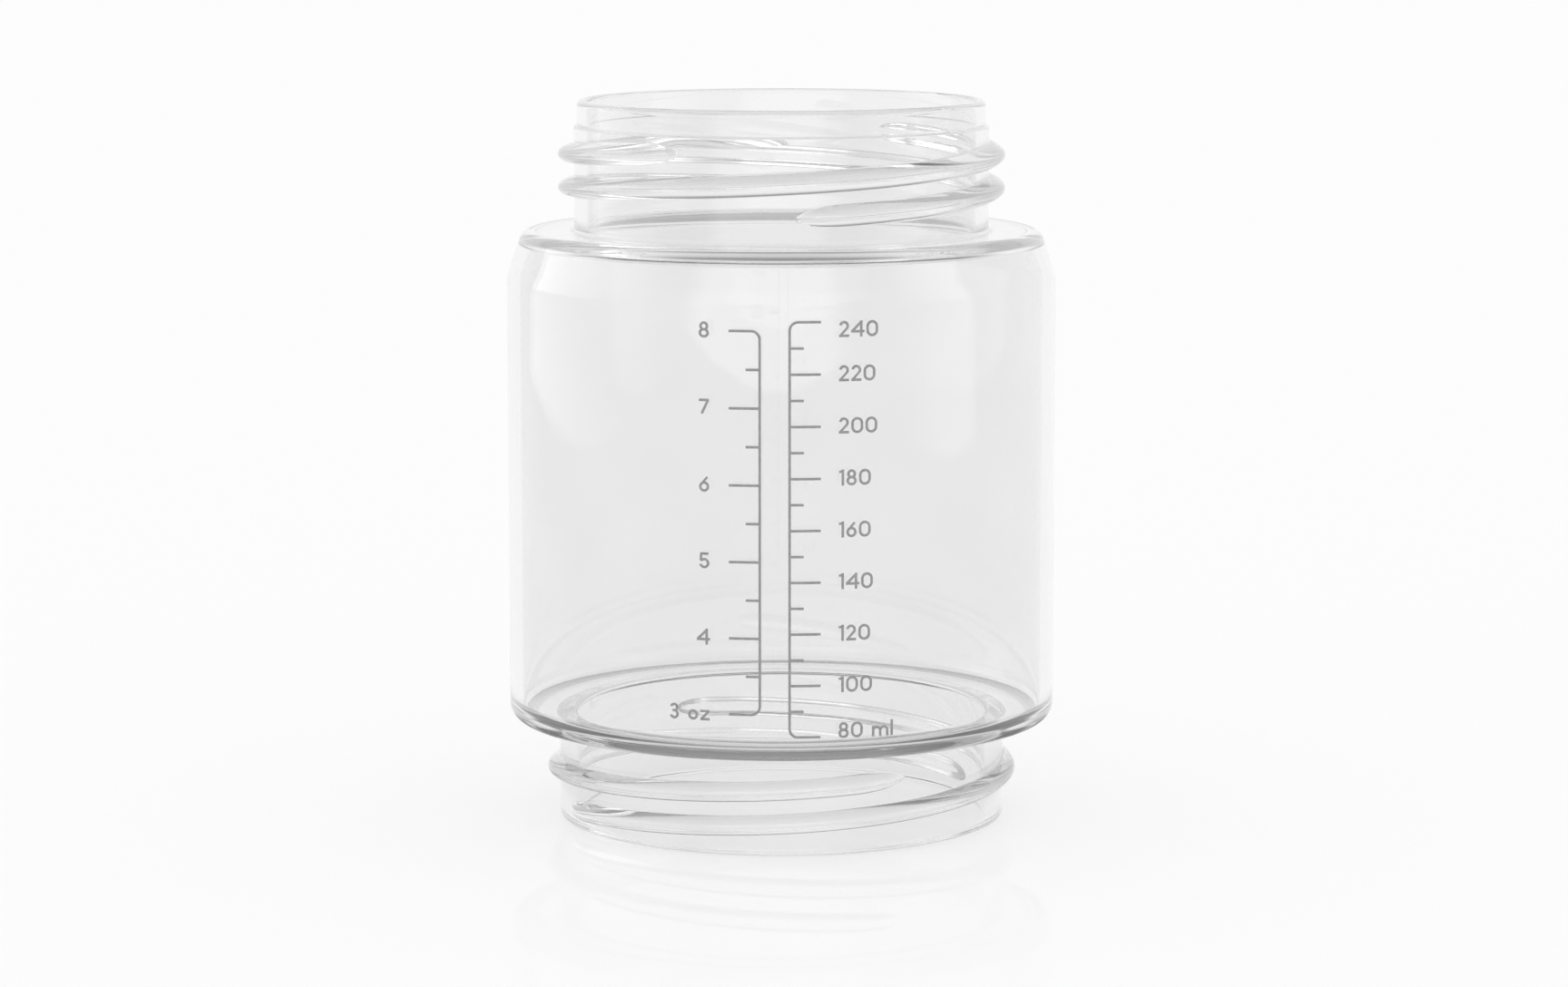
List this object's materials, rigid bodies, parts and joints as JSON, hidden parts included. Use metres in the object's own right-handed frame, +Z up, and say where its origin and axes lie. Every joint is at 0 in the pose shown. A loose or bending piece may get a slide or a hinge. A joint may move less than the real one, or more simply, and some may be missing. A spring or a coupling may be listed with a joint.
{
  "type": "baby bottle vessel",
  "caption": "Clear open-ended baby bottle vessel: a drum body between a threaded mouth neck and a threaded base neck, with printed ounce and millilitre scales.",
  "frame": {"origin": "centre of the base rim, where the vessel stands", "axes": "+Z up along the vessel's axis to the mouth, -Y the side that the printed scales face, +X to their right"},
  "size_m": [0.0676, 0.0676, 0.0888],
  "materials": {
    "clear_plastic": "clear, polished",
    "ink": "matte print"
  },
  "bodies": {
    "root": {"vessel": "clear_plastic", "ounce_scale": "ink", "ounce_numbers": "ink", "millilitre_scale": "ink", "millilitre_numbers": "ink"}
  },
  "joints": []
}
